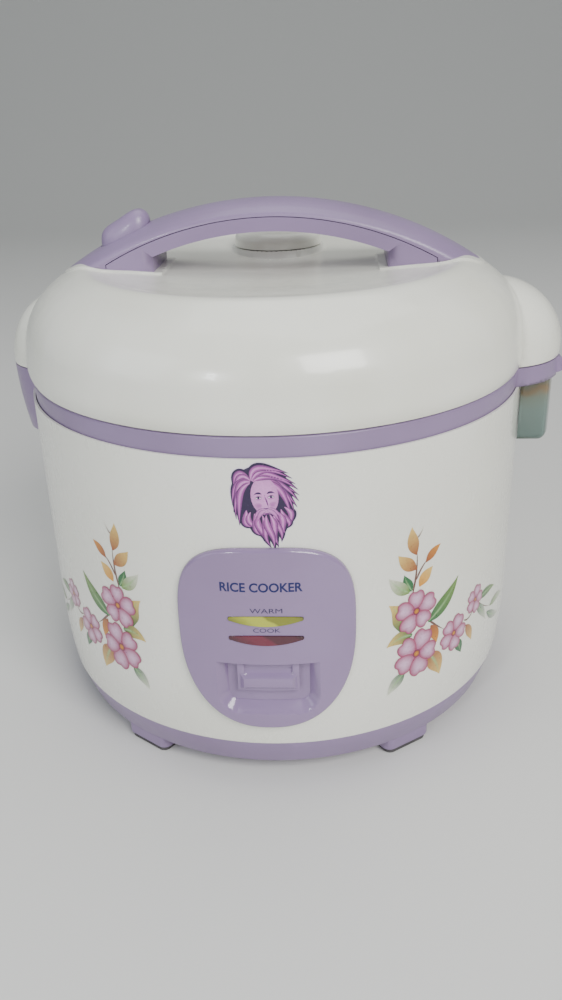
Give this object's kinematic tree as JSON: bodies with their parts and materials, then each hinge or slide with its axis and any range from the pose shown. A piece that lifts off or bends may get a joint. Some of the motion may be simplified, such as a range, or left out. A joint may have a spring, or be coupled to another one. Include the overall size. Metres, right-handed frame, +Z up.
{
  "type": "rice cooker",
  "caption": "Jar rice cooker with a hinged domed lid, arched carry handle, latch button, inner pot, heater, cook switch and a removable dew collector.",
  "frame": {"origin": "middle of the cooker's footprint at the plane of the feet; the body's axis is 4.4 mm towards the latch", "axes": "+Z up, the control panel faces -Y, the lid's hinge is at +X and its latch at -X"},
  "size_m": [0.3068, 0.28, 0.2788],
  "materials": {
    "cream_paint": "glossy baked enamel on sheet steel",
    "cream_plastic": "polished moulded plastic",
    "lavender_plastic": "satin moulded plastic",
    "lavender_gloss": "polished moulded plastic",
    "grey_rubber": "matt",
    "steel": "zinc plated",
    "galvanised": "galvanised sheet",
    "mica_band": "woven heater band",
    "cast_aluminium": "cast and turned",
    "pot_aluminium": "drawn, satin",
    "black_plastic": "moulded",
    "white_sleeve": "woven sleeve",
    "porcelain": "glazed",
    "wire_insulation": "silicone braid",
    "brass": "nickel wash",
    "green_lens": "clear tinted",
    "red_lens": "clear tinted",
    "lamp_board": "phenolic board",
    "silicone": "translucent",
    "clear_cup": "smoky translucent"
  },
  "bodies": {
    "body": {"outer_shell": "cream_paint", "base_pan": "lavender_plastic", "rubber_feet": "grey_rubber", "base_screws": "steel", "rim_ring": "lavender_plastic", "hinge_pin": "steel", "lid_spring": "steel", "inner_chamber": "galvanised", "keep_warm_heater": "mica_band", "heating_plate": "cast_aluminium", "heating_element": "steel", "thermostat_sleeve": "galvanised", "sensor_spring": "steel", "lever_bracket": "galvanised", "lever_pin": "steel", "microswitch": "black_plastic", "thermal_fuse": "white_sleeve", "terminal_block": "porcelain", "wiring": "wire_insulation", "power_inlet": "black_plastic", "inlet_pins": "brass", "control_panel": "lavender_gloss", "green_lens": "green_lens", "red_lens": "red_lens", "lamp_board": "lamp_board", "panel_screws": "steel"},
    "lid": {"lid_shell": "cream_plastic", "lid_liner": "cream_plastic", "inner_lid": "pot_aluminium", "lid_gasket": "silicone", "lid_knob": "grey_rubber", "vent_well": "cream_plastic", "handle_top": "lavender_plastic", "handle_lower": "lavender_plastic", "handle_screws": "steel", "latch_pin": "steel", "latch_spring": "steel"},
    "button": {"release_button": "lavender_plastic"},
    "hook": {"latch_hook": "black_plastic"},
    "steam_cap": {"steam_cap": "cream_plastic", "vent_seal": "silicone"},
    "dew_collector": {"dew_collector": "clear_cup"},
    "pot": {"inner_pot": "pot_aluminium"},
    "sensor": {"sensor_cap": "cast_aluminium"},
    "cook_switch": {"cook_switch": "lavender_gloss"},
    "switch_lever": {"switch_lever": "galvanised"},
    "magnet": {"magnet_rod": "steel"}
  },
  "joints": [
    {"name": "lid_hinge", "type": "hinge", "parent": "body", "child": "lid", "pos_m": [0.1491, 0, 0.1905], "axis": [0, 1, 0], "range_deg": [0, 88]},
    {"name": "release_press", "type": "slide", "parent": "lid", "child": "button", "axis": [0, 0, -1], "range_m": [0, 0.004], "stiffness_N_per_m": 700, "springref_m": -0.002, "deforming": ["latch_spring"]},
    {"name": "hook_swing", "type": "hinge", "parent": "lid", "child": "hook", "pos_m": [-0.1204, 0, 0.226], "axis": [0, 1, 0], "range_deg": [0, 6.75]},
    {"name": "steam_cap_lift", "type": "slide", "parent": "lid", "child": "steam_cap", "axis": [0, 0, 1], "range_m": [0, 0.03]},
    {"name": "dew_collector_pull", "type": "slide", "parent": "body", "child": "dew_collector", "axis": [1, 0, 0], "range_m": [0, 0.03]},
    {"name": "pot_turn", "type": "hinge", "parent": "body", "child": "pot", "pos_m": [-0.0044, 0, 0.052], "axis": [0, 0, 1], "continuous": true},
    {"name": "sensor_press", "type": "slide", "parent": "body", "child": "sensor", "axis": [0, 0, -1], "range_m": [0, 0.002], "stiffness_N_per_m": 500, "springref_m": -0.004, "deforming": ["sensor_spring"]},
    {"name": "cook_press", "type": "slide", "parent": "body", "child": "cook_switch", "axis": [0, 0, -1], "range_m": [0, 0.005]},
    {"name": "lever_rock", "type": "hinge", "parent": "body", "child": "switch_lever", "pos_m": [-0.0044, -0.042, 0.02775], "axis": [1, 0, 0], "range_deg": [0, 3.66]},
    {"name": "magnet_lift", "type": "slide", "parent": "body", "child": "magnet", "axis": [0, 0, 1], "range_m": [0, 0.0027]}
  ],
  "couplings": [
    {"joint": "hook_swing", "follows": "release_press", "rad_per_m": 29.412},
    {"joint": "lever_rock", "follows": "cook_press", "rad_per_m": 12.658},
    {"joint": "magnet_lift", "follows": "cook_press", "ratio": 0.5316}
  ]
}
